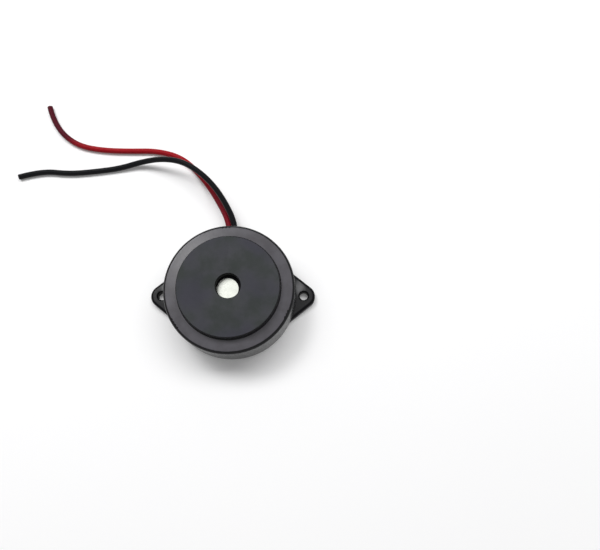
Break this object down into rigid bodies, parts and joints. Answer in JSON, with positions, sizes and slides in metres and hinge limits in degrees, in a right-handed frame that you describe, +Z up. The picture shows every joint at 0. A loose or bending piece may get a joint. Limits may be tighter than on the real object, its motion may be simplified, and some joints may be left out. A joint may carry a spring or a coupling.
{
  "type": "piezo buzzer",
  "caption": "Round black piezo buzzer with a stepped face, a central sound port, a screw ear on each side and a red and a black lead.",
  "frame": {"origin": "centre of the base, in the plane that the buzzer is screwed down on", "axes": "+Z up through the sound port, X through the two ear holes, the leads leave on the +Y side"},
  "size_m": [0.0755, 0.0664, 0.0124],
  "materials": {
    "black_abs": "moulded, satin shoulder and matt face",
    "cover_abs": "moulded, fine matt texture",
    "red_insulation": "extruded soft vinyl",
    "black_insulation": "extruded soft vinyl",
    "nickel_alloy": "rolled, satin",
    "piezo_ceramic": "fired, matt",
    "fired_silver": "screened, matt silver",
    "silicone": "cured bead",
    "board_laminate": "paper laminate, sawn edge",
    "copper": "etched foil",
    "solder": "bright solder",
    "tinned_wire": "tinned",
    "wire_insulation": "thin white vinyl",
    "epoxy": "moulded epoxy",
    "ferrite": "pressed and fired",
    "enamelled_copper": "enamelled wire turns",
    "diode_glass": "clear glass with a band",
    "resistor_lacquer": "lacquered"
  },
  "bodies": {
    "root": {"case": "black_abs", "back_cover": "cover_abs", "diaphragm_plate": "nickel_alloy", "ceramic_disc": "piezo_ceramic", "main_electrode": "fired_silver", "feedback_electrode": "fired_silver", "adhesive_ring": "silicone", "disc_solder_dots": "solder", "hookup_wire_ends": "tinned_wire", "circuit_board": "board_laminate", "copper_tracks": "copper", "solder_joints": "solder", "transistor": "epoxy", "transistor_legs": "tinned_wire", "choke_core": "ferrite", "choke_winding": "enamelled_copper", "choke_pins": "tinned_wire", "diode": "diode_glass", "diode_legs": "tinned_wire", "bias_resistor": "resistor_lacquer", "bias_resistor_legs": "tinned_wire", "feedback_resistor": "resistor_lacquer", "feedback_resistor_legs": "tinned_wire", "lead_cores": "tinned_wire", "main_wire": "wire_insulation", "feedback_wire": "wire_insulation", "plate_wire": "wire_insulation", "red_lead": "red_insulation", "black_lead": "black_insulation"}
  },
  "joints": []
}
